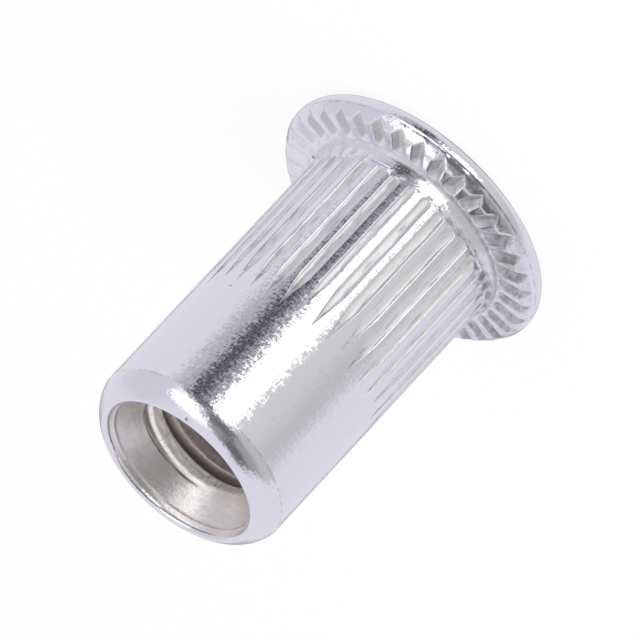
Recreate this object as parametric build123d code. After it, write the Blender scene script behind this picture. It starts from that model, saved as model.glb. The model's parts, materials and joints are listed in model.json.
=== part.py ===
from build123d import *
import os
from math import radians, tan

# Rivet nut for an M5 screw, with a flat serrated head and a straight knurl, in millimetres.
# It stands on the outer face of its head: the origin is the centre of that face,
# and +Z runs along the axis to the open end, where the thread is.

# Shank
overall_length = 12.7
shank_diameter = 7.0
taper_length = 0.80          # rolled-in outer edge of the open end, along the axis
taper_depth = 0.58           # the same, across the axis
taper_bulge = 0.10           # how far its curve stands out from a straight cone

# Head
head_diameter = 9.8
head_thickness = 1.0         # from the outer face to the seat, the ring that bears on the sheet
face_edge_radius = 0.50      # outer edge of the outer face
rim_height = 0.60            # plain side wall, up to the shoulder
rim_edge_radius = 0.08
shoulder_width = 0.32        # sloping ring between the side wall and the seat
neck_height = 0.50           # smooth flare that joins the shank to the seat
neck_flare = 0.22            # how far the foot of the flare reaches out

# Serrations pressed into the seat, with round inner ends
serration_count = 36
serration_depth = 0.22
serration_width = 0.52
serration_gap = 0.04         # plain ring between the neck and the serrations
serration_offset = 6.2       # degrees about the axis, from the grooves of the knurl

# Straight knurl on the shank
groove_count = 36
groove_width = 0.38
groove_depth = 0.09
groove_gap = 0.04            # plain strip between the neck and the grooves
groove_length = 6.1          # with the pointed run-out
runout_length = 1.5

# Bore
thread_minor_diameter = 4.134   # crests of the M5 x 0.8 thread, left plain here
thread_length = 5.6             # below the countersink
countersink_angle = 60.0
lip_radius = 0.16               # rounding of the mouth's lip
sleeve_wall = 0.75              # thin part of the shank, which folds when the nut is set
step_angle = 90.0               # between the thread and the sleeve's wider bore
entry_chamfer = 0.20            # at the outer face

# Sizes and places that follow from these
shank_radius = shank_diameter / 2
head_radius = head_diameter / 2
seat_radius = head_radius - shoulder_width
serration_floor = head_thickness - serration_depth
neck_top = head_thickness + neck_height
neck_foot = shank_radius + neck_flare
taper_radius = shank_radius - taper_depth
taper_start = overall_length - taper_length
mouth_radius = taper_radius - lip_radius
mouth_height = overall_length - lip_radius
thread_radius = thread_minor_diameter / 2
sleeve_radius = shank_radius - sleeve_wall
thread_top = mouth_height - (mouth_radius - thread_radius) / tan(radians(countersink_angle / 2))
thread_bottom = thread_top - thread_length
step_bottom = thread_bottom - (sleeve_radius - thread_radius) / tan(radians(step_angle / 2))
groove_start = neck_top + groove_gap
groove_end = groove_start + groove_length


def turned(outline):
    """Turn a closed outline, drawn as radius and height, about the nut's axis."""
    return revolve(Plane.XZ * make_face(outline.edges()), axis=Axis.Z)


def rounded(outline, corner, radius):
    """Round the corner of a closed outline that lies at the given point."""
    face = make_face(outline.edges())
    nearest = face.vertices().sort_by_distance(corner)[0]
    return fillet(nearest, radius).wire()


def head_blank():
    """Flat disc with a rounded face edge, a plain side wall and a sloping shoulder."""
    face_corner = (head_radius, 0)
    rim_corner = (head_radius, rim_height)
    seat_corner = (seat_radius, head_thickness)
    outline = Polyline((0, 0), face_corner, rim_corner, seat_corner, (0, head_thickness), close=True)
    outline = rounded(outline, face_corner, face_edge_radius)
    outline = rounded(outline, rim_corner, rim_edge_radius)
    return turned(outline)


def serration_cutter():
    """One V-shaped groove that runs outwards from a round end and leaves through the shoulder."""
    overcut = 1.1
    inner_end = neck_foot + serration_gap + serration_width / 2
    half_width = serration_width / 2 * overcut
    height = serration_depth * overcut
    top = serration_floor + height
    section = Plane.YZ.offset(inner_end) * Polygon(
        (0, serration_floor), (half_width, top), (-half_width, top), align=None
    )
    groove = extrude(section, head_radius - inner_end + overcut)
    round_end = Pos(inner_end, 0, serration_floor + height / 2) * Cone(0, half_width, height)
    return [groove, round_end]


def shank_blank():
    """Solid shank with the flare at its neck and the rolled-in edge at its open end."""
    flare = EllipticalCenterArc((neck_foot, neck_top), neck_flare, neck_height, start_angle=180, arc_size=90)
    taper_middle = (
        (shank_radius + taper_radius) / 2 + taper_bulge * taper_length / (taper_length + taper_depth),
        (taper_start + overall_length) / 2 + taper_bulge * taper_depth / (taper_length + taper_depth),
    )
    outline = [
        Polyline((0, overall_length), (0, 0), (neck_foot, 0), flare @ 1),
        flare,
        Line(flare @ 0, (shank_radius, taper_start)),
        ThreePointArc((shank_radius, taper_start), taper_middle, (taper_radius, overall_length)),
        Line((taper_radius, overall_length), (0, overall_length)),
    ]
    return turned(Curve() + outline)


def groove_cutter():
    """One knurl groove: a round end at the neck, an even length and a pointed run-out."""
    tool_radius = (groove_width**2 / 4 + groove_depth**2) / (2 * groove_depth)
    tool_centre = shank_radius + tool_radius - groove_depth
    straight_start = groove_start + groove_width / 2
    runout_start = groove_end - runout_length
    round_end = Pos(tool_centre, 0, straight_start) * Sphere(tool_radius)
    section = Pos(tool_centre, 0, straight_start) * Circle(tool_radius)
    straight = extrude(section, runout_start - straight_start)
    last_section = Pos(tool_centre, 0, runout_start) * Circle(tool_radius)
    runout = loft([last_section.face(), Vertex(shank_radius, 0, groove_end)])
    return [round_end, straight, runout]


def bore():
    """Stepped hole: the sleeve's bore, the thread, the countersink and the rounded lip."""
    lip = CenterArc((taper_radius, mouth_height), lip_radius, start_angle=90, arc_size=90)
    wall = Polyline(
        (0, overall_length),
        (0, 0),
        (sleeve_radius + entry_chamfer, 0),
        (sleeve_radius, entry_chamfer),
        (sleeve_radius, step_bottom),
        (thread_radius, thread_bottom),
        (thread_radius, thread_top),
        (mouth_radius, mouth_height),
    )
    return turned(Curve() + [wall, lip, Line(lip @ 0, (0, overall_length))])


def around(count, tools, start_angle=0):
    """Copies of some tools, evenly spaced about the nut's axis."""
    return [Rot(0, 0, start_angle + 360 * i / count) * tool for i in range(count) for tool in tools]


def rivet_nut():
    """The whole nut, cold formed as one piece."""
    nut = head_blank() + shank_blank()
    nut = nut - around(serration_count, serration_cutter(), serration_offset)
    nut = nut - around(groove_count, groove_cutter())
    return nut - bore()


os.makedirs("parts", exist_ok=True)
nut = rivet_nut()
nut.label = "rivet_nut"
export_step(nut, "parts/rivet_nut.step")
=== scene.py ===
"""Looks of a plated rivet nut, modelled to the sizes of its solid, with a small studio."""

import json
from math import atan2, ceil, cos, degrees, hypot, pi, radians, sin, sqrt, tau

import bmesh
import bpy
import numpy as np
from bpy.props import FloatProperty, FloatVectorProperty, IntProperty, PointerProperty
from mathutils import Matrix, Vector, noise


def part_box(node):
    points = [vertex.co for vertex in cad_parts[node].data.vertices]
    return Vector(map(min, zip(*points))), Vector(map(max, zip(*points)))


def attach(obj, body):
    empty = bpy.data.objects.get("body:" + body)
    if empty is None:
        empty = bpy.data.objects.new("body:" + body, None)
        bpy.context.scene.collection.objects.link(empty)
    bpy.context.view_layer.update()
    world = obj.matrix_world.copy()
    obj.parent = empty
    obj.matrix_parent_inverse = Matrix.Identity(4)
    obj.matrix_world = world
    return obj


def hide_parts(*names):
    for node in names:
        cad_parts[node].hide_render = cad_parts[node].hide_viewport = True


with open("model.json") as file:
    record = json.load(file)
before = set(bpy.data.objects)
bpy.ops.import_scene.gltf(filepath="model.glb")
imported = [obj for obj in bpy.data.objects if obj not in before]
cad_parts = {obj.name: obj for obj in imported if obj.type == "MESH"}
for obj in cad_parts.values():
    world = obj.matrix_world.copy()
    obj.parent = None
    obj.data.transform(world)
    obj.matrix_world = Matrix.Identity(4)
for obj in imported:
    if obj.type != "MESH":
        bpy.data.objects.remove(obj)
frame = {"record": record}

bl_info = {
    "name": "Rivet Nut",
    "version": (1, 0, 0),
    "blender": (4, 5, 0),
    "location": "3D View > Sidebar > Rivet Nut",
    "description": "Models and plates a knurled rivet nut, and sets up its studio",
    "category": "Object",
}

MM = 0.001
_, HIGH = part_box("rivet_nut")
MOUNTS = {mount["name"]: mount for mount in frame["record"]["mounts"]}


# ---------------------------------------------------------------- sizes and colours


def length(name, millimetres, description):
    """A length that a user can change, with its default in millimetres."""
    return FloatProperty(
        name=name,
        description=description,
        default=millimetres * MM,
        min=0.0,
        precision=6,
        unit="LENGTH",
    )


def angle(name, value, description):
    """An angle that a user can change, with its default in degrees."""
    return FloatProperty(
        name=name, description=description, default=radians(value), unit="ROTATION"
    )


def number(name, value, description):
    """A number without a unit that a user can change."""
    return FloatProperty(name=name, description=description, default=value)


def colour(name, value, description):
    """A colour that a user can change."""
    return FloatVectorProperty(
        name=name, description=description, default=value, min=0.0, max=4.0, subtype="COLOR"
    )


def mount_radius(name):
    """Radius of a mount in millimetres."""
    return MOUNTS[name]["dims"]["r_mm"]


def mount_end(name, side):
    """Height in millimetres of a mount's lower end (side -1) or upper end (side 1)."""
    mount = MOUNTS[name]
    return mount["pos_m"][2] / MM + side * mount["dims"]["length_mm"] / 2


class RivetNutSizes(bpy.types.PropertyGroup):
    """The nut's sizes. Those that its solid shares come from the solid's box and mounts."""

    overall_length: length("Length", HIGH.z / MM, "From the head's outer face to the open end")
    head_radius: length("Head radius", HIGH.x / MM, "Half of the head's diameter")
    shank_radius: length("Shank radius", mount_radius("shank"), "Half of the shank's diameter")
    neck_top: length("Neck top", mount_end("shank", -1), "Height at which the flare ends")
    taper_start: length("Taper start", mount_end("shank", 1), "Height where the rolled end starts")
    taper_depth: length("Taper depth", 0.58, "How far the open end is rolled in")
    taper_bulge: length("Taper bulge", 0.10, "How far the rolled edge stands out from a cone")
    lip_radius: length("Lip radius", 0.16, "Rounding of the mouth's lip")

    head_thickness: length("Head thickness", 1.0, "From the outer face to the seat")
    face_edge_radius: length("Face edge", 0.50, "Rounding of the outer face's edge")
    rim_height: length("Rim height", 0.60, "Plain side wall, up to the shoulder")
    shoulder_width: length("Shoulder width", 0.32, "Sloping ring between side wall and seat")
    crease_inset: length("Crease inset", 0.03, "Rounding of the crease below the shoulder")
    shoulder_bulge: length("Shoulder bulge", 0.032, "How far the shoulder stands out from a cone")
    neck_flare: length("Neck flare", 0.12, "How far the foot of the flare reaches out")

    tooth_count: IntProperty(
        name="Teeth", description="Serrations, and knurl grooves", default=36, min=8
    )
    serration_depth: length("Serration depth", 0.22, "Depth of the seat's serrations")
    serration_width: length("Serration width", 0.52, "Width of the seat's serrations")
    serration_gap: length("Serration gap", 0.04, "Plain ring between the neck and the serrations")
    serration_offset: angle("Serration offset", 6.2, "Turn of the serrations from the knurl")

    groove_width: length("Groove width", 0.38, "Width of the knurl's grooves")
    groove_depth: length("Groove depth", 0.09, "Depth of the knurl's grooves")
    groove_gap: length("Groove gap", 0.04, "Plain strip between the neck and the grooves")
    groove_length: length("Groove length", 6.1, "Length of a groove with its run-out")
    runout_length: length("Run-out", 1.5, "Pointed end of a groove")

    crest_radius: length("Thread crest", mount_radius("thread"), "Radius of the thread's crests")
    root_radius: length("Thread root", 2.5, "Radius of the thread's roots")
    pitch: length("Pitch", 0.8, "Pitch of the thread")
    root_height: length("Root height", 11.34, "Height of a thread root at the first groove")
    thread_top: length("Thread top", mount_end("thread", 1), "Height at which the countersink ends")
    thread_bottom: length("Thread bottom", mount_end("thread", -1), "Height of the thread's end")
    sleeve_radius: length("Sleeve bore", mount_radius("sleeve_bore"), "Radius of the sleeve's bore")
    sleeve_bottom: length("Chamfer top", mount_end("sleeve_bore", -1), "Height of the chamfer")
    sleeve_top: length("Sleeve top", mount_end("sleeve_bore", 1), "Height at which the sleeve ends")

    @property
    def taper_radius(self):
        return self.shank_radius - self.taper_depth

    @property
    def mouth_radius(self):
        return self.taper_radius - self.lip_radius

    @property
    def mouth_height(self):
        return self.overall_length - self.lip_radius

    @property
    def seat_radius(self):
        return self.head_radius - self.shoulder_width

    @property
    def neck_foot(self):
        return self.shank_radius + self.neck_flare

    @property
    def groove_start(self):
        return self.neck_top + self.groove_gap

    @property
    def groove_end(self):
        return self.groove_start + self.groove_length

    @property
    def chamfer_radius(self):
        return self.sleeve_radius + self.sleeve_bottom

    def cone_radius(self, height):
        """Radius of the countersink's cone at a height."""
        slope = (self.mouth_radius - self.crest_radius) / (self.mouth_height - self.thread_top)
        return self.crest_radius + (height - self.thread_top) * slope


class RivetNutFinish(bpy.types.PropertyGroup):
    """Colours and smoothness of the bright zinc plating."""

    plating: colour("Plating", (0.80, 0.797, 0.825), "Colour of the smooth plating")
    pressed: colour("Pressed", (0.84, 0.83, 0.825), "Colour in grooves and serrations")
    bore: colour("Bore", (0.72, 0.685, 0.64), "Colour in the countersink and thread")
    galled: colour("Galled crests", (0.95, 0.92, 0.88), "Torn metal along the crests of the thread")
    # The depth of the bore is darker, partly as bare steel and partly as painted shade.
    deep: colour("Deep", (0.50, 0.44, 0.415), "Colour in the depth of the bore")
    # Colour of grime and pits, and also of the painted shade in run-outs and creases and of the
    # seat's painted darker side.
    dirt_and_shade: colour("Dirt", (0.10, 0.09, 0.08), "Colour of grime and of the small pits")
    smooth_roughness: number("Smooth roughness", 0.145, "Roughness of the drawn surfaces")
    pressed_roughness: number("Pressed roughness", 0.50, "Roughness of grooves and serrations")
    bore_roughness: number("Bore roughness", 0.36, "Roughness of the countersink and thread")
    ripple_depth: length("Ripple depth", 0.0030, "Height of the plating's fine ripple")
    drawing_tilt: angle("Drawing tilt", 16.0, "Sideways lean of the drawn surface's fine streaks")
    speck_tilt: angle("Speck tilt", 14.0, "Sideways lean of the plating's small specks")


class RivetNutStage(bpy.types.PropertyGroup):
    """Camera, floor and studio."""

    azimuth: angle("Azimuth", -0.6, "Direction of the camera, 0 looks along +Y")
    elevation: angle("Elevation", 28.0, "Height of the camera above the floor")
    roll: angle("Roll", 137.0, "Turn of the view, anticlockwise")
    lens: number("Lens", 1000.0, "Focal length in millimetres")
    field: length("Field", 19.93, "Width of the view at the nut")
    centre_right: length("Right of middle", 0.617, "View's centre, right of the nut's middle")
    centre_up: length("Above middle", 0.592, "View's centre, above the nut's middle")
    floor_size: length("Floor", 900.0, "Width of the floor")
    floor_cloth: colour("Cloth", (0.85, 0.85, 0.86), "Colour of the floor")
    floor_gap: length("Floor gap", 0.01, "Gap that keeps the floor and the head in separate planes")
    floor_glow: number("Floor glow", 0.92, "Share of the floor that shows the plain backdrop")
    backdrop: colour("Backdrop", (1.0, 1.0, 1.0), "Colour that the camera sees behind the nut")
    ambient: number("Ambient", 0.8, "Strength of the world's light")
    lamp_size: length("Lamp size", 100.0, "Width of the soft lamp")
    lamp_power: number("Lamp power", 0.12, "Power of the soft lamp in watts")


# ---------------------------------------------------------------- small helpers


def lerp(start, end, share):
    """The value at a share of the way from start to end."""
    return start + (end - start) * share


def clamp(share):
    """A share, kept between 0 and 1."""
    return min(1.0, max(0.0, share))


def smooth(share):
    """A share from 0 to 1 that starts and ends gently."""
    return share * share * (3 - 2 * share)


def even(count, start=0.0, end=1.0):
    """Evenly spaced shares, both ends included."""
    return [lerp(start, end, i / (count - 1)) for i in range(count)]


def spin(mesh, outline, turn, steps, rise=0.0, closed=False):
    """Joins a row of vertices and spins it about the axis; rise is the climb of each step."""
    edges = [mesh.edges.new(pair) for pair in zip(outline, outline[1:])]
    bmesh.ops.spin(
        mesh,
        geom=outline + edges,
        axis=(0.0, 0.0, 1.0),
        cent=(0.0, 0.0, 0.0),
        dvec=(0.0, 0.0, rise),
        angle=turn,
        steps=steps,
        use_merge=closed,
    )


# ---------------------------------------------------------------- grooves round the axis

COLUMNS = 16                     # mesh columns for each groove and the land beside it
GROOVE_SHARES = (1.0, 0.88, 0.62, 0.3)   # places across half a groove
EDGE_SHARE = 1.16                # column just outside a groove's edge


class Grooves:
    """A ring of grooves, each a little different, and how the mesh's columns follow them.

    Eleven columns follow a groove: its middle, its edges and places between, and one just
    outside each edge. The others share out the land up to the next groove.
    """

    def __init__(self, count, offset, seed, turn_spread):
        self.random = np.random.default_rng(seed)
        self.count = count
        self.step = tau / (count * COLUMNS)
        half = (EDGE_SHARE, *GROOVE_SHARES)
        self.layout = np.array([-x for x in half] + [0.0] + list(reversed(half)))
        column = np.arange(count * COLUMNS)
        from_first = column - round(offset / self.step) + len(half)
        local = from_first % COLUMNS
        last = len(self.layout) - 1
        self.index = from_first // COLUMNS % count
        self.following = (self.index + 1) % count
        self.across = self.layout[np.minimum(local, last)]
        self.on_land = local > last
        self.land_share = np.where(self.on_land, (local - last) / (COLUMNS - last), 0.0)
        self.inside = ~self.on_land & (abs(self.across) < 1)
        self.column_angle = column * self.step
        self.turn = offset + tau * np.arange(count) / count + self.vary(turn_spread)

    def vary(self, spread):
        """One random number for each groove, at most two spreads from zero."""
        return self.random.normal(0, 1, self.count).clip(-2, 2) * spread

    def columns(self, values):
        """A value for each groove, as a value for each column: it changes evenly over a land."""
        values = np.broadcast_to(values, self.count)
        return lerp(values[self.index], values[self.following], self.land_share)

    def slide(self, half_angle):
        """How far each column turns from its even place, to follow grooves of that half angle."""
        half_angle = np.broadcast_to(half_angle, self.count)
        in_groove = self.turn[self.index] + self.across * half_angle[self.index]
        land_start = self.turn[self.index] + EDGE_SHARE * half_angle[self.index]
        land_end = self.turn[self.following] - EDGE_SHARE * half_angle[self.following]
        land_end = land_start + (land_end - land_start) % tau
        on_land = lerp(land_start, land_end, self.land_share)
        turn = np.where(self.on_land, on_land, in_groove)
        return (turn - self.column_angle + pi) % tau - pi


# ---------------------------------------------------------------- outer skin


class Skin:
    """Rings of the outer skin, from the sleeve's bore round the outside to the countersink.

    Each ring has, for every column, a radius, a height, a slide round the axis, how far the
    place was pressed, from 0 to 1, and how far it was bored: 0 outside, 1 in the countersink
    and 2 in the depth of the bore, where little plating reaches and painted shade darkens it.
    """

    def __init__(self, column_count):
        self.column_count = column_count
        self.rings = []

    def add(self, radius, height, slide=0.0, pressed=0.0, bored=0.0):
        """Each value is one number, or an array with one number for each column."""
        values = (radius, height, slide, pressed, bored)
        self.rings.append([np.broadcast_to(value, self.column_count) for value in values])

    def arrays(self):
        """The five kinds of value, each as an array of rings by columns."""
        return np.array(self.rings).transpose(1, 0, 2)


def add_sleeve(skin, sizes, top):
    """Sleeve's bore, its entry chamfer and the outer face, up to the face's edge."""
    for share in even(7):
        skin.add(sizes.sleeve_radius, lerp(top, sizes.sleeve_bottom, share), bored=2.0)
    inset = 0.2 * sizes.sleeve_bottom
    skin.add(sizes.chamfer_radius - inset, inset, bored=1.0)
    skin.add(sizes.chamfer_radius, 0.0)
    face_radius = sizes.head_radius - sizes.face_edge_radius
    for share in (0.04, 0.35, 0.7, 0.97):
        skin.add(lerp(sizes.chamfer_radius, face_radius, share), 0.0)


def add_rim(skin, sizes):
    """Rounded edge of the face and the side wall, up to the shoulder's crease."""
    radius = sizes.face_edge_radius
    for turn in even(9, 0.0, pi / 2):
        skin.add(sizes.head_radius - radius * (1 - sin(turn)), radius * (1 - cos(turn)))
    for share in (0.5, 0.8):
        skin.add(sizes.head_radius, lerp(radius, sizes.rim_height, share))


SHOULDER_OUT, SHOULDER_UP = 0.78, 0.62   # direction in which the shoulder faces
SERRATION_FLANK = 0.95           # power of a serration's section, a little under a plain V
NECK_DULLNESS = 0.25             # how far the very foot of the neck was pressed


def add_seat(skin, sizes, serrations, knurl):
    """Shoulder, seat with its serrations, and the flare of the neck."""
    depth = (sizes.serration_depth * (1 + serrations.vary(0.07)))[serrations.index]
    half_width = sizes.serration_width / 2 * (1 + serrations.vary(0.04))
    width_share = half_width[serrations.index]
    inner_end = sizes.neck_foot + sizes.serration_gap + sizes.serration_width / 2

    def pressed_in(from_deepest):
        """How far the seat is pressed in, at a share of half the width from the deepest place."""
        hollow = depth * (1 - from_deepest.clip(0, 1) ** SERRATION_FLANK)
        return np.where(serrations.inside, hollow, 0.0)

    hollow = pressed_in(abs(serrations.across))
    height = sizes.head_thickness - hollow
    pressed = hollow / sizes.serration_depth
    slope = sizes.shoulder_width / (sizes.head_thickness - sizes.rim_height)
    corner = sizes.head_radius - slope * (height - sizes.rim_height)
    crease = sizes.head_radius - sizes.crease_inset
    for share in (0.0, 0.07, 0.18, 0.32, 0.5, 0.7, 0.88, 1.0):
        bulge = sizes.shoulder_bulge * 4 * share * (1 - share)
        radius = lerp(crease, corner, share) + SHOULDER_OUT * bulge
        level = lerp(sizes.rim_height, height, share) + SHOULDER_UP * bulge
        slide = serrations.slide(half_width / sizes.seat_radius) * smooth(share)
        skin.add(radius, level, slide, pressed * share**6)
    for share in (0.06, 0.16, 0.35, 0.6, 0.85, 1.0):
        radius = lerp(corner, inner_end, share)
        skin.add(radius, height, serrations.slide(half_width / np.mean(radius)), pressed)

    for share in (0.25, 0.48, 0.68, 0.84, 0.94, 1.0):
        chord = max(0.1, sqrt(1 - share**2))
        hollow = pressed_in(np.hypot(serrations.across * chord, share))
        radius = inner_end - share * width_share
        slide = serrations.slide(half_width * chord / np.mean(radius))
        skin.add(radius, sizes.head_thickness - hollow, slide, hollow / sizes.serration_depth)

    last_slide = slide
    first_slide = knurl.slide(0.12 * sizes.groove_width / sizes.shank_radius)
    seat_edge = sizes.neck_foot + 0.01 * MM
    skin.add(seat_edge, sizes.head_thickness, last_slide, pressed=NECK_DULLNESS)
    for share in (0.0, 0.04, 0.14, 0.28, 0.44, 0.62, 0.8, 1.0):
        radius = sizes.shank_radius + sizes.neck_flare * (1 - share) ** 2
        slide = lerp(last_slide, first_slide, smooth(share))
        dull = NECK_DULLNESS * max(0.0, 1 - share / 0.4)
        skin.add(radius, lerp(sizes.head_thickness, sizes.neck_top, share), slide, pressed=dull)


NARROW_GROOVES, NARROW_WIDTH = 0.2, 0.72   # share of the grooves, and their share of the width
GROOVE_FILL = 0.85               # share of the full depth that the rolled grooves reach
LEAST_WIDTH = 0.05               # share of a groove's width that its columns keep at its ends
PLAIN_STRIP = 0.02 * MM          # from the plain ring at the neck to the grooves


def add_knurl(skin, sizes, knurl):
    """Knurl: grooves with a round end at the neck and a pointed run-out."""
    narrow = np.where(knurl.random.random(knurl.count) < NARROW_GROOVES, NARROW_WIDTH, 1.0)
    half_width = sizes.groove_width / 2 * narrow * (1 + knurl.vary(0.05))
    depth = GROOVE_FILL * sizes.groove_depth * (1 + knurl.vary(0.1))
    start = sizes.groove_start + knurl.vary(0.03 * MM)
    end = sizes.groove_end + knurl.vary(0.11 * MM)
    runout = sizes.runout_length * (1 + knurl.vary(0.12))
    wave = knurl.random.random(knurl.count) * tau
    least = LEAST_WIDTH * sizes.groove_width / 2
    section = np.where(knurl.inside, 1 - abs(knurl.across).clip(0, 1) ** 6, 0.0)

    def ring(height, width, deep):
        """A ring where the grooves have these heights, half widths and shares of their depth."""
        width = np.maximum(width, least)
        bent = knurl.columns(depth * deep) * section
        radius = sizes.shank_radius - bent
        slide = knurl.slide(width / sizes.shank_radius)
        skin.add(radius, knurl.columns(height), slide, bent / sizes.groove_depth)

    first_slide = knurl.slide(least / sizes.shank_radius)
    skin.add(sizes.shank_radius, knurl.columns(start) - PLAIN_STRIP, first_slide)
    for turn in even(7, 0.0, pi / 2):
        ring(start + half_width * (1 - cos(turn)), half_width * sin(turn), sin(turn) ** 0.8)
    straight_start = start + half_width
    straight_end = end - runout
    for share in even(10)[1:]:
        height = lerp(straight_start, straight_end, share)
        waver = 1 + 0.05 * np.sin(2.3 * height / MM + wave) * (1 - share) * min(1, 4 * share)
        ring(height, half_width * waver, 1.0)
    for share in (0.12, 0.25, 0.38, 0.5, 0.62, 0.73, 0.83, 0.91, 0.97, 1.0):
        ring(lerp(straight_end, end, share), half_width * (1 - share), (1 - share) ** 0.75)
    tip_height = knurl.columns(end)
    for share in (0.02, 0.06, 0.13, 0.28, 0.5, 0.75, 0.93):
        slide = first_slide * (1 - smooth(clamp(share / 0.28)))
        skin.add(sizes.shank_radius, lerp(tip_height, sizes.taper_start, share), slide)


CONE_RIDGE = 0.012 * MM          # ridge that the countersink tool left near the mouth
CONE_RINGS = ((0.015, 0), (0.11, 0), (0.13, 1), (0.15, 1), (0.17, 0), (0.25, 0))


def add_open_end(skin, sizes, bottom):
    """Rolled-in edge, lip and the upper part of the countersink."""
    start = Vector((sizes.shank_radius, sizes.taper_start))
    end = Vector((sizes.taper_radius, sizes.overall_length))
    chord = end - start
    outward = Vector((chord.y, -chord.x)).normalized()
    for share in (-0.03, 0.0, 0.04, 0.12, 0.25, 0.38, 0.5, 0.62, 0.74, 0.85, 0.94, 1.0):
        if share < 0:
            point = Vector((start.x, start.y + share * chord.length))
        else:
            point = lerp(start, end, share) + outward * sizes.taper_bulge * 4 * share * (1 - share)
        skin.add(point.x, point.y)

    for turn in even(9, 0.08, pi / 2):
        radius = sizes.taper_radius - sizes.lip_radius * sin(turn)
        skin.add(radius, sizes.mouth_height + sizes.lip_radius * cos(turn))
    for drop, inward in CONE_RINGS:
        height = sizes.mouth_height - drop * MM
        skin.add(sizes.cone_radius(height) - inward * CONE_RIDGE, height, bored=1.0)
    skin.add(sizes.cone_radius(bottom), bottom, bored=1.0)


def outer_skin(mesh, sizes, strip_bottom, strip_top):
    """Spins the skin's outline about the axis, then moves each column to its own place."""
    count = sizes.tooth_count
    columns = count * COLUMNS
    serrations = Grooves(count, sizes.serration_offset, seed=11, turn_spread=radians(0.12))
    knurl = Grooves(count, 0.0, seed=5, turn_spread=radians(0.10))
    skin = Skin(columns)
    add_sleeve(skin, sizes, strip_bottom)
    add_rim(skin, sizes)
    add_seat(skin, sizes, serrations, knurl)
    add_knurl(skin, sizes, knurl)
    add_open_end(skin, sizes, strip_top)
    radius, height, slide, pressed, bored = skin.arrays()

    ring_layer = mesh.verts.layers.int.new("ring")
    pressed_layer = mesh.verts.layers.float.new("pressed")
    bored_layer = mesh.verts.layers.float.new("bored")
    outline = []
    for ring in range(len(radius)):
        vertex = mesh.verts.new((radius[ring].mean(), 0.0, height[ring].mean()))
        vertex[ring_layer] = ring
        outline.append(vertex)
    spin(mesh, outline, tau, columns, closed=True)
    for vertex in mesh.verts:
        ring = vertex[ring_layer]
        column = round(atan2(vertex.co.y, vertex.co.x) / serrations.step) % columns
        turn = column * serrations.step + slide[ring, column]
        vertex.co.x = radius[ring, column] * cos(turn)
        vertex.co.y = radius[ring, column] * sin(turn)
        vertex.co.z = height[ring, column]
        vertex[pressed_layer] = pressed[ring, column]
        vertex[bored_layer] = bored[ring, column]
    mesh.verts.layers.int.remove(ring_layer)


# ---------------------------------------------------------------- thread

THREAD_COLUMNS = 120             # mesh columns in one turn of the thread
THREAD_ROWS = 20                 # mesh rows in one pitch
CREST_FLAT = 0.56                # shares of the pitch
ROOT_FLAT = 0.08
RUN_IN = 0.45 * MM               # height over which the thread fills up above its top
RUN_IN_DONE = 0.22               # share of that which is done at the thread's top
CREST_BAND = 0.12 * MM           # depth behind the crests that counts as crest
GALL = 0.026 * MM                # how far the crests are torn, in bumps of these two sizes
COARSE_GALL, FINE_GALL = 0.16 * MM, 0.07 * MM
FINE_GALL_SHARE = 0.6            # strength of the fine bumps against the coarse ones
PLATING_AND_SHADE_LEVEL = 0.15 * MM         # height above the last root where the plating starts to fail and painted shade starts to darken the bore
PLATING_AND_SHADE_FADE = 0.09 * MM
SAME_PLACE = 0.001 * MM          # vertices closer than this are one


def thread_radius(sizes, share):
    """Radius of the thread at a share of the pitch from the middle of a root."""
    from_root = abs((share + 0.5) % 1.0 - 0.5)
    flank = (from_root - ROOT_FLAT / 2) / (0.5 - CREST_FLAT / 2 - ROOT_FLAT / 2)
    return lerp(sizes.root_radius, sizes.crest_radius, clamp(flank))


def shape_thread(vertex, sizes):
    """Moves one vertex of the plain helix out to the nut's bore.

    Returns how far it lies on a torn crest, from 0 to 1, and how deep, from 1 to 2.
    """
    radius = hypot(vertex.co.x, vertex.co.y)
    height = vertex.co.z
    run_in = smooth(clamp((height - sizes.thread_top) / RUN_IN + RUN_IN_DONE))
    on_crest = smooth(1 - min(1.0, (radius - sizes.crest_radius) / CREST_BAND))
    gall = noise.noise(vertex.co / COARSE_GALL)
    gall += FINE_GALL_SHARE * noise.noise(vertex.co / FINE_GALL)
    torn = lerp(radius, sizes.crest_radius, run_in) + on_crest * GALL * gall
    step = min(sizes.sleeve_radius, sizes.crest_radius + sizes.thread_bottom - height)
    wide = max(torn, sizes.cone_radius(height), step)
    vertex.co.x *= wide / radius
    vertex.co.y *= wide / radius
    turn = (atan2(vertex.co.y, vertex.co.x) + pi / 2) % tau - pi / 2
    level = height - sizes.pitch * turn / tau - (sizes.root_height - sizes.pitch)
    deep = 2 - smooth(clamp((level - PLATING_AND_SHADE_LEVEL) / PLATING_AND_SHADE_FADE))
    return (on_crest if wide == torn else 0.0), deep


def cut_off(mesh, height, above):
    """Removes what lies above a height, or below it."""
    bmesh.ops.bisect_plane(
        mesh,
        geom=mesh.verts[:] + mesh.edges[:] + mesh.faces[:],
        dist=1e-8,
        plane_co=(0.0, 0.0, height),
        plane_no=(0.0, 0.0, 1.0),
        clear_outer=above,
        clear_inner=not above,
    )


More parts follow.
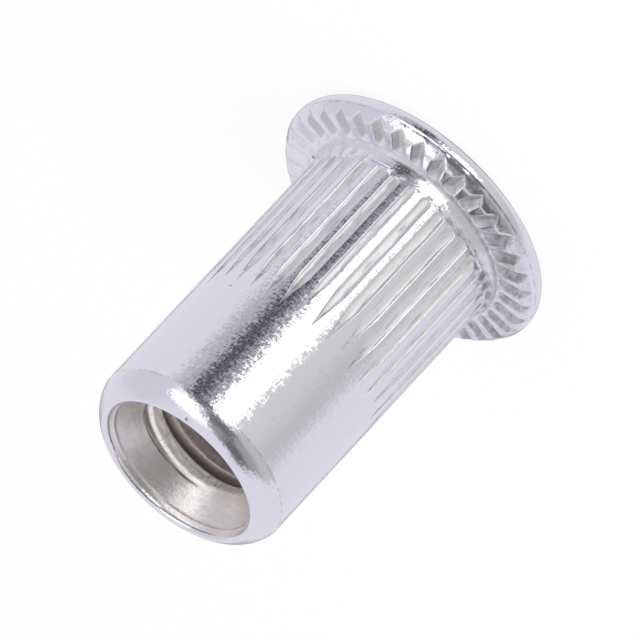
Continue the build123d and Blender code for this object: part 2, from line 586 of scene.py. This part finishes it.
def thread_strip(sizes, bottom, top):
    """One pitch of the thread's outline, spun up a helix and trimmed to a ring of threads."""
    mesh = bmesh.new()
    pressed_layer = mesh.verts.layers.float.new("pressed")
    bored_layer = mesh.verts.layers.float.new("bored")
    turns_down = ceil((sizes.root_height - bottom) / sizes.pitch) + 1
    first = sizes.root_height - turns_down * sizes.pitch
    turns = ceil((top - first) / sizes.pitch) + 1
    outline = [
        mesh.verts.new((thread_radius(sizes, share), 0.0, first + share * sizes.pitch))
        for share in even(THREAD_ROWS + 1)
    ]
    rise = sizes.pitch / THREAD_COLUMNS
    spin(mesh, outline, tau * turns, THREAD_COLUMNS * turns, rise)
    bmesh.ops.remove_doubles(mesh, verts=mesh.verts, dist=sizes.pitch / THREAD_ROWS / 10)
    for vertex in mesh.verts:
        vertex[pressed_layer], vertex[bored_layer] = shape_thread(vertex, sizes)
    cut_off(mesh, top, above=True)
    cut_off(mesh, bottom, above=False)
    bmesh.ops.remove_doubles(mesh, verts=mesh.verts, dist=SAME_PLACE)
    return mesh


def join_strip(mesh, strip):
    """Adds the ring of threads to the skin and closes the two narrow gaps between them."""
    carrier = bpy.data.meshes.new("thread_strip")
    strip.to_mesh(carrier)
    strip.free()
    mesh.from_mesh(carrier)
    bpy.data.meshes.remove(carrier)
    open_edges = [edge for edge in mesh.edges if edge.is_boundary]
    heights = [(edge.verts[0].co.z + edge.verts[1].co.z) / 2 for edge in open_edges]
    middle = (min(heights) + max(heights)) / 2
    for side in (-1, 1):
        loops = [edge for edge, height in zip(open_edges, heights) if (height - middle) * side > 0]
        bmesh.ops.bridge_loops(mesh, edges=loops)


SEAM = 0.03 * MM                 # gap between the skin and the thread, closed by a bridge


def nut_mesh(sizes):
    """The whole nut as one closed mesh."""
    strip_top = lerp(sizes.thread_top, sizes.mouth_height, 0.7)
    strip_bottom = sizes.sleeve_top - 0.2 * MM
    mesh = bmesh.new()
    outer_skin(mesh, sizes, strip_bottom - SEAM, strip_top + SEAM)
    strip = thread_strip(sizes, strip_bottom, strip_top)
    join_strip(mesh, strip)
    bmesh.ops.recalc_face_normals(mesh, faces=mesh.faces)
    for face in mesh.faces:
        face.smooth = True
    loose = sum(not edge.is_manifold for edge in mesh.edges)
    if loose:
        raise RuntimeError(f"the nut's mesh has {loose} open edges")
    made = bpy.data.meshes.new("plated_nut")
    mesh.to_mesh(made)
    mesh.free()
    return made


# ---------------------------------------------------------------- shader maths


class Value:
    """A socket that takes part in Python sums, each of which adds its Math node."""

    def __init__(self, graph, socket):
        self.graph = graph
        self.socket = socket

    def math(self, operation, *others):
        return self.graph.math(operation, self, *others)

    def __add__(self, other):
        return self.math("ADD", other)

    def __sub__(self, other):
        return self.math("SUBTRACT", other)

    def __mul__(self, other):
        return self.math("MULTIPLY", other)

    def __rsub__(self, other):
        return self.graph.math("SUBTRACT", other, self)

    __radd__ = __add__
    __rmul__ = __mul__


class Made:
    """A node that was made, whose outputs are found by name or identifier."""

    def __init__(self, graph, node):
        self.graph = graph
        self.node = node

    def __getitem__(self, name):
        return Value(self.graph, self.graph.find(self.node.outputs, name))


class Graph:
    """The nodes of one material or of the world."""

    def __init__(self, tree):
        self.tree = tree
        tree.nodes.clear()

    @staticmethod
    def find(sockets, name):
        """The socket with this identifier, or else the one in use with this name."""
        for socket in sockets:
            if socket.identifier == name:
                return socket
        for socket in sockets:
            if socket.name == name and socket.enabled:
                return socket
        raise KeyError(name)

    def node(self, kind, settings=None, values=None):
        """A node of any kind: its settings first, then the values or links of its sockets."""
        node = self.tree.nodes.new(kind)
        for name, setting in (settings or {}).items():
            setattr(node, name, setting)
        for name, value in (values or {}).items():
            indexed = isinstance(name, int)
            self.feed(node.inputs[name] if indexed else self.find(node.inputs, name), value)
        return Made(self, node)

    def feed(self, socket, value):
        if isinstance(value, Value):
            self.tree.links.new(value.socket, socket)
        elif isinstance(value, (tuple, list)) and socket.type == "RGBA" and len(value) == 3:
            socket.default_value = (*value, 1.0)
        else:
            socket.default_value = value

    def math(self, operation, *values):
        made = self.node("ShaderNodeMath", {"operation": operation}, dict(enumerate(values)))
        return made["Value"]

    def vector(self, operation, *values):
        """Vector Math on whole vectors."""
        made = self.node("ShaderNodeVectorMath", {"operation": operation}, dict(enumerate(values)))
        return made["Value" if operation == "DOT_PRODUCT" else "Vector"]

    def scaled(self, vector, factor):
        values = {"Vector": vector, "Scale": factor}
        return self.node("ShaderNodeVectorMath", {"operation": "SCALE"}, values)["Vector"]

    def mix(self, factor, first, second):
        """A colour between two colours."""
        values = {"Factor_Float": factor, "A_Color": first, "B_Color": second}
        settings = {"data_type": "RGBA", "clamp_factor": True}
        return self.node("ShaderNodeMix", settings, values)["Result_Color"]

    def ramp(self, value, low, high):
        """0 below low, 1 above high, smooth between; falls instead if high is less than low."""
        values = {"Value": value, "From Min": min(low, high), "From Max": max(low, high)}
        settings = {"interpolation_type": "SMOOTHSTEP"}
        rising = self.node("ShaderNodeMapRange", settings, values)["Result"]
        return 1 - rising if high < low else rising

    def window(self, value, low, high, soft):
        """1 between low and high, with edges that are soft by that much each way."""
        return self.ramp(value, low - soft, low + soft) * self.ramp(value, high + soft, high - soft)

    def noise(self, vector, scale, stretch, detail, roughness):
        """Noise with a scale, squeezed by stretch along the nut's axis."""
        squeezed = self.vector("MULTIPLY", vector, (1.0, 1.0, stretch))
        values = {"Vector": squeezed, "Scale": scale, "Detail": detail, "Roughness": roughness}
        return self.node("ShaderNodeTexNoise", None, values)["Fac"]


# ---------------------------------------------------------------- plating

# Noise patterns of the plating: patches for each millimetre, how much closer they lie along the
# axis, detail and roughness.
PATTERNS = {
    "ripple": (4.0, 1.0, 3.0, 0.55),
    "swell": (0.8, 1.0, 1.0, 0.5),
    "grain": (16.0, 1.0, 3.0, 0.6),
    "speck": (10.0, 1.0, 2.0, 0.6),
    "drawn": (3.2, 5.5, 4.0, 0.66),
    "streak": (11.0, 0.12, 3.0, 0.6),
    "blot": (11.0, 1.0, 2.0, 0.5),
    "blotch": (2.4, 2.4, 5.0, 0.66),
}
PIT_CELLS = 1.1                  # cells for each millimetre, of which a few hold a pit
PIT_CHANCE = 0.1
PIT_RADIUS = (0.03, 0.09)        # in cells: the pit's floor and its edge

# How strongly the colour of dirt and painted shade shows, from 0 to 1, and how much more it
# does in patches. The run-out, rolled-edge and crease values are painted shade, the streak
# values are grime, the serration and seat values paint the seat darker towards -X, and the
# pits are dark.
# Painted shade in the knurl's run-outs.
RUNOUT_SHADE, RUNOUT_PATCHES = 0.2, 0.28
STREAK_GRIME, SEAT_STREAK_GRIME = 0.3, 0.1
# The seat is painted darker towards -X: its serrations evenly and in clouds, the whole seat in
# clouds.
SERRATION_DARKENING, SERRATION_CLOUDS = 0.12, 0.14
SEAT_DARKENING = 0.24
# Painted shade along the start of the rolled edge and in the shoulder's crease.
ROLLED_SHADE, CREASE_SHADE = 0.24, 0.4
PIT_GRIME = 0.75


class Surface:
    """Masks and patterns of the plating, each a value that changes over the nut."""

    def __init__(self, graph, sizes):
        self.graph = graph
        self.sizes = sizes
        place = graph.scaled(graph.node("ShaderNodeTexCoord")["Object"], 1 / MM)
        parts = graph.node("ShaderNodeSeparateXYZ", None, {"Vector": place})
        self.height = parts["Z"]
        # 1 towards -X and 0 towards +X: the side where the seat is painted darker.
        self.darker_side = graph.ramp(parts["X"], 3.5, -3.5)
        pressed = graph.node("ShaderNodeAttribute", {"attribute_name": "pressed"})["Fac"]
        bored = graph.node("ShaderNodeAttribute", {"attribute_name": "bored"})["Fac"]
        self.pressed = graph.ramp(pressed, 0.02, 0.25)
        # The depth of the bore: partly bare steel, partly painted shade.
        self.deep = graph.ramp(bored, 1.1, 1.9)
        self.bore = graph.math("MINIMUM", bored, 1.0)
        self.outside = 1 - self.bore
        self.galled = self.pressed * self.bore * (1 - self.deep)
        seat_start, seat_end = sizes.rim_height + 0.14 * MM, sizes.head_thickness + 0.06 * MM
        self.on_seat = self.band(seat_start, seat_end, 0.04)
        self.pattern = {name: graph.noise(place, *values) for name, values in PATTERNS.items()}
        self.pit = self.pits(place)

    def band(self, bottom, top, soft):
        """1 between two heights; soft is in millimetres."""
        return self.graph.window(self.height, bottom / MM, top / MM, soft)

    def pits(self, place):
        """A few cells of a cell pattern hold a pit with an uneven edge."""
        graph = self.graph
        values = {"Vector": place, "Scale": PIT_CELLS}
        cells = graph.node("ShaderNodeTexVoronoi", {"feature": "F1"}, values)
        lottery = graph.node("ShaderNodeSeparateColor", None, {"Color": cells["Color"]})["Red"]
        uneven = cells["Distance"] + (self.pattern["blot"] - 0.5) * 0.12
        chosen = graph.math("GREATER_THAN", lottery, 1 - PIT_CHANCE)
        floor, edge = PIT_RADIUS
        return graph.ramp(uneven, edge, floor) * chosen * self.outside

    def grime_and_shade(self):
        """Painted shade in run-outs and creases, grime streaks, a seat darker towards -X, and dark
        pits.
        """
        sizes = self.sizes
        runout_start = sizes.groove_end - 0.6 * sizes.runout_length
        runout = self.band(runout_start, sizes.groove_end, 0.4)
        rolled = self.band(sizes.taper_start - 0.02 * MM, sizes.taper_start + 0.05 * MM, 0.035)
        crease = self.band(sizes.rim_height, sizes.rim_height + 0.03 * MM, 0.02)
        ripple = self.pattern["ripple"]
        patchy = self.graph.ramp(ripple + (self.pattern["blot"] - 0.5) * 0.5, 0.42, 0.62)
        cloudy = self.graph.ramp(ripple, 0.3, 0.7)
        streaky = self.graph.ramp(self.pattern["streak"], 0.48, 0.68)
        darker_seat = self.on_seat * self.darker_side
        # Painted shade in the knurl's run-outs, stronger in patches.
        in_grooves = runout * (RUNOUT_SHADE + RUNOUT_PATCHES * patchy)
        in_grooves = in_grooves + streaky * lerp(STREAK_GRIME, SEAT_STREAK_GRIME, self.on_seat)
        # The seat's serrations are painted darker towards -X, evenly and in clouds.
        in_grooves = in_grooves + darker_seat * (SERRATION_DARKENING + SERRATION_CLOUDS * cloudy)
        # Painted shade along the start of the rolled edge and in the shoulder's crease, in patches.
        on_surface = patchy * (rolled * ROLLED_SHADE + crease * CREASE_SHADE)
        # The whole seat is painted darker towards -X, in clouds.
        on_surface = on_surface + darker_seat * cloudy * SEAT_DARKENING
        return self.pressed * in_grooves + self.outside * on_surface + self.pit * PIT_GRIME

    def tint(self, finish):
        """Base colour: the depth of the bore is darker, partly as bare steel and partly as painted
        shade.
        """
        mix = self.graph.mix
        blotch = self.graph.ramp(self.pattern["blotch"], 0.4, 0.66) * 0.6
        bored = mix(blotch, finish.bore[:], finish.plating[:])
        bored = mix(self.galled * 0.6, bored, finish.galled[:])
        # Darker in the depth of the bore, partly bare steel and partly painted shade.
        bored = mix(self.deep, bored, finish.deep[:])
        tint = mix(self.pressed, finish.plating[:], finish.pressed[:])
        tint = mix(self.bore, tint, bored)
        # Grime, pits, painted shade and the seat's darker side all take the dirt-and-shade colour.
        return mix(self.grime_and_shade(), tint, finish.dirt_and_shade[:])

    def roughness(self, finish):
        rough = lerp(finish.smooth_roughness, finish.pressed_roughness, self.pressed)
        rough = lerp(rough, finish.bore_roughness, self.bore)
        return rough + (self.pattern["grain"] - 0.5) * 0.08 + self.pit * 0.2

    def relief(self, finish):
        """Height of the fine relief, in millimetres."""
        relief = (self.pattern["ripple"] - 0.5) * (finish.ripple_depth / MM)
        relief = relief + (self.pattern["swell"] - 0.5) * 0.012
        grain_height = 0.0008 + 0.002 * self.pressed + 0.004 * self.bore
        relief = relief + (self.pattern["grain"] - 0.5) * grain_height
        relief = relief + (self.pattern["speck"] - 0.5) * (0.005 - 0.003 * self.pressed)
        return relief - self.pit * 0.01

    def normal(self, finish):
        """Drawing left fine streaks that lean sideways; in pressed grooves they run lengthways."""
        graph = self.graph
        values = {"Strength": 1.0, "Distance": MM, "Height": self.relief(finish)}
        bumpy = graph.node("ShaderNodeBump", None, values)["Normal"]
        plain = graph.node("ShaderNodeNewGeometry")["Normal"]
        sideways = graph.vector("CROSS_PRODUCT", (0.0, 0.0, 1.0), plain)
        lean = (self.pattern["drawn"] - 0.5) * finish.drawing_tilt
        lean = lean + (self.pattern["speck"] - 0.5) * finish.speck_tilt
        lean = lerp(lean, self.pattern["streak"] - 0.5, self.pressed * self.outside)
        return graph.vector("NORMALIZE", graph.vector("ADD", bumpy, graph.scaled(sideways, lean)))

    def metallic(self):
        grooves = self.pressed * self.outside * (1 - self.on_seat)
        return 1 - 0.14 * grooves - 0.75 * self.galled - 0.6 * self.deep


def plating_material(sizes, finish):
    """Bright zinc plating: fine ripple and streaks, duller where it was pressed or bored, with dirt
    and painted shade in its colour.
    """
    material = bpy.data.materials.new("zinc_plating")
    material.use_nodes = True
    graph = Graph(material.node_tree)
    surface = Surface(graph, sizes)
    values = {
        "Base Color": surface.tint(finish),
        "Metallic": surface.metallic(),
        "Roughness": surface.roughness(finish),
        "Normal": surface.normal(finish),
    }
    shader = graph.node("ShaderNodeBsdfPrincipled", None, values)
    graph.node("ShaderNodeOutputMaterial", None, {"Surface": shader["BSDF"]})
    return material


# ---------------------------------------------------------------- stage

# Tints of the paper and cloth round the nut.
LAVENDER = (0.99, 0.975, 1.085)
NEUTRAL = (1.0, 0.99, 1.01)
BLUISH = (0.96, 0.965, 1.08)

# Panels and flags that the nut reflects: name, azimuth from the camera and elevation, the
# softness of the edges, all in degrees, then brightness and tint. Later ones lie over earlier.
STUDIO = (
    ("back wall", (162, 200), (-75, 0), 8, 0.48, NEUTRAL),
    ("back wall end", (-200, -162), (-75, 0), 8, 0.48, NEUTRAL),
    ("near wall", (-70, 24), (-80, 14), 14, 0.74, NEUTRAL),
    ("near wall end", (-72, -44), (-60, 14), 12, 0.62, NEUTRAL),
    ("wall top", (-78, 24), (-8, 22), 6, 0.60, NEUTRAL),
    ("right wall", (44, 68), (-60, 14), 10, 0.55, BLUISH),
    ("right top", (46, 125), (-12, 50), 12, 0.74, LAVENDER),
    ("hood", (-70, 20), (19, 60), 5, 0.40, NEUTRAL),
    ("hood side", (-18, 8), (42, 60), 5, 0.36, NEUTRAL),
    ("hood corner", (-60, -16), (39, 62), 4, 0.16, NEUTRAL),
    ("strip light", (-11, 17), (-44, 15), 2, 2.0, NEUTRAL),
    ("strip edge", (19, 31), (-50, 8), 2, 0.42, BLUISH),
    ("flag", (31, 48), (-52, 13), 5, 0.075, BLUISH),
    ("flag top", (12, 43), (6, 21), 4, 0.15, NEUTRAL),
    ("lens", (-22, 17), (19, 40), 4, 0.17, NEUTRAL),
    ("window foot", (43, 60), (11, 24), 3, 1.2, NEUTRAL),
    ("window", (34, 62), (22, 40), 3, 2.0, NEUTRAL),
    ("window middle", (25, 58), (36, 50), 3, 2.0, NEUTRAL),
    ("window top", (17, 50), (46, 59), 3, 1.6, NEUTRAL),
    ("window corner", (4, 30), (57, 66), 3, 1.1, NEUTRAL),
)
OPEN_STUDIO = 0.86               # brightness where there is no panel


def tinted(brightness, tint):
    return tuple(brightness * part for part in tint)


def studio_world(stage):
    """White backdrop for the camera, and a studio of panels and flags for reflections."""
    world = bpy.data.worlds.new("studio")
    world.use_nodes = True
    graph = Graph(world.node_tree)
    direction = graph.node("ShaderNodeTexCoord")["Generated"]
    towards = (sin(stage.azimuth), -cos(stage.azimuth), 0.0)
    sideways = (cos(stage.azimuth), sin(stage.azimuth), 0.0)
    ahead = graph.vector("DOT_PRODUCT", direction, towards)
    aside = graph.vector("DOT_PRODUCT", direction, sideways)
    azimuth = graph.math("ARCTAN2", aside, ahead) * degrees(1)
    rise = graph.vector("DOT_PRODUCT", direction, (0.0, 0.0, 1.0))
    elevation = graph.math("ARCSINE", rise) * degrees(1)

    light = tinted(OPEN_STUDIO, LAVENDER)
    for _, (left, right), (low, high), soft, brightness, tint in STUDIO:
        panel = graph.window(azimuth, left, right, soft) * graph.window(elevation, low, high, soft)
        light = graph.mix(panel, light, tinted(brightness, tint))
    seen = graph.node("ShaderNodeLightPath")
    plain = graph.mix(seen["Is Glossy Ray"], (stage.ambient,) * 3, light)
    shown = graph.mix(seen["Is Camera Ray"], plain, stage.backdrop[:])
    background = graph.node("ShaderNodeBackground", None, {"Color": shown, "Strength": 1.0})
    graph.node("ShaderNodeOutputWorld", None, {"Surface": background["Background"]})
    return world


def floor_material(stage):
    """Pale floor that stays white for the camera but keeps a trace of the nut's shadow."""
    material = bpy.data.materials.new("pale_floor")
    material.use_nodes = True
    graph = Graph(material.node_tree)
    seen = graph.node("ShaderNodeLightPath")
    cloth = graph.node("ShaderNodeBsdfDiffuse", None, {"Color": stage.floor_cloth[:]})
    glow = graph.node("ShaderNodeEmission", None, {"Color": stage.backdrop[:], "Strength": 1.0})
    glowing = seen["Is Camera Ray"] * stage.floor_glow
    values = {0: glowing, 1: cloth["BSDF"], 2: glow["Emission"]}
    top = graph.node("ShaderNodeMixShader", None, values)
    under = graph.node("ShaderNodeBsdfTransparent")
    back = graph.node("ShaderNodeNewGeometry")["Backfacing"]
    both = graph.node("ShaderNodeMixShader", None, {0: back, 1: top["Shader"], 2: under["BSDF"]})
    graph.node("ShaderNodeOutputMaterial", None, {"Surface": both["Shader"]})
    return material


def add_floor(stage):
    """Wide floor, a hair under the nut's face so that the two don't share a plane."""
    mesh = bmesh.new()
    bmesh.ops.create_grid(mesh, x_segments=1, y_segments=1, size=stage.floor_size / 2)
    made = bpy.data.meshes.new("floor")
    mesh.to_mesh(made)
    mesh.free()
    floor = bpy.data.objects.new("floor", made)
    floor.data.materials.append(floor_material(stage))
    floor.visible_glossy = False
    floor.location.z = -stage.floor_gap
    bpy.context.scene.collection.objects.link(floor)


LAMP_PLACE = Vector((-0.06, -0.05, 0.14))


def add_lamp(stage):
    """A soft square lamp that points at the nut and isn't seen in its reflections."""
    light = bpy.data.lights.new("key_lamp", "AREA")
    light.shape = "SQUARE"
    light.size = stage.lamp_size
    light.energy = stage.lamp_power
    lamp = bpy.data.objects.new("key_lamp", light)
    lamp.location = LAMP_PLACE
    lamp.rotation_euler = LAMP_PLACE.to_track_quat("Z", "Y").to_euler()
    lamp.visible_glossy = False
    bpy.context.scene.collection.objects.link(lamp)


CLIP_RANGE = 20                  # how many times nearer and farther than the nut the camera sees


def add_camera(stage, sizes):
    """Long-lens camera, rolled so that the nut's open end points down to the left."""
    data = bpy.data.cameras.new("camera")
    data.lens = stage.lens
    distance = stage.field * stage.lens / data.sensor_width
    data.clip_start = distance / CLIP_RANGE
    data.clip_end = distance * CLIP_RANGE
    level = cos(stage.elevation)
    back = Vector((sin(stage.azimuth) * level, -cos(stage.azimuth) * level, sin(stage.elevation)))
    turned = (-back).to_track_quat("-Z", "Y").to_matrix() @ Matrix.Rotation(-stage.roll, 3, "Z")
    middle = Vector((0.0, 0.0, sizes.overall_length / 2))
    aim = middle + turned.col[0] * stage.centre_right + turned.col[1] * stage.centre_up
    camera = bpy.data.objects.new("camera", data)
    camera.matrix_world = Matrix.Translation(aim + back * distance) @ turned.to_4x4()
    bpy.context.scene.collection.objects.link(camera)
    bpy.context.scene.camera = camera


# ---------------------------------------------------------------- add-on


class RIVETNUT_OT_nut(bpy.types.Operator):
    """Model the nut as one plated piece, with its serrations, knurl and thread"""

    bl_idname = "rivetnut.nut"
    bl_label = "Rivet Nut"

    def execute(self, context):
        sizes = context.scene.rivet_nut_sizes
        piece = bpy.data.objects.new("plated_nut", nut_mesh(sizes))
        context.scene.collection.objects.link(piece)
        piece.data.materials.append(plating_material(sizes, context.scene.rivet_nut_finish))
        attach(piece, "root")
        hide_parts("rivet_nut")
        return {"FINISHED"}


class RIVETNUT_OT_stage(bpy.types.Operator):
    """Set up the floor, the soft lamp, the reflected studio and the camera"""

    bl_idname = "rivetnut.stage"
    bl_label = "Studio"

    def execute(self, context):
        stage = context.scene.rivet_nut_stage
        context.scene.view_settings.view_transform = "Standard"
        context.scene.world = studio_world(stage)
        add_floor(stage)
        add_lamp(stage)
        add_camera(stage, context.scene.rivet_nut_sizes)
        return {"FINISHED"}


class RIVETNUT_PT_panel(bpy.types.Panel):
    """Lists the nut's sizes and finish, and the studio"""

    bl_idname = "RIVETNUT_PT_panel"
    bl_label = "Rivet Nut"
    bl_space_type = "VIEW_3D"
    bl_region_type = "UI"
    bl_category = "Rivet Nut"

    def draw(self, context):
        layout = self.layout
        for operator, group in OPERATORS:
            layout.operator(operator.bl_idname)
            for settings in group:
                values = getattr(context.scene, settings)
                for name in values.__annotations__:
                    layout.prop(values, name)


OPERATORS = (
    (RIVETNUT_OT_nut, ("rivet_nut_sizes", "rivet_nut_finish")),
    (RIVETNUT_OT_stage, ("rivet_nut_stage",)),
)
GROUPS = {
    "rivet_nut_sizes": RivetNutSizes,
    "rivet_nut_finish": RivetNutFinish,
    "rivet_nut_stage": RivetNutStage,
}
CLASSES = (*GROUPS.values(), RIVETNUT_OT_nut, RIVETNUT_OT_stage, RIVETNUT_PT_panel)


def register():
    for cls in CLASSES:
        bpy.utils.register_class(cls)
    for name, group in GROUPS.items():
        setattr(bpy.types.Scene, name, PointerProperty(type=group))


def unregister():
    for name in GROUPS:
        delattr(bpy.types.Scene, name)
    for cls in reversed(CLASSES):
        bpy.utils.unregister_class(cls)


def main():
    register()
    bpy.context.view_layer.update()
    bpy.ops.rivetnut.nut()
    bpy.ops.rivetnut.stage()


if __name__ == "__main__":
    main()
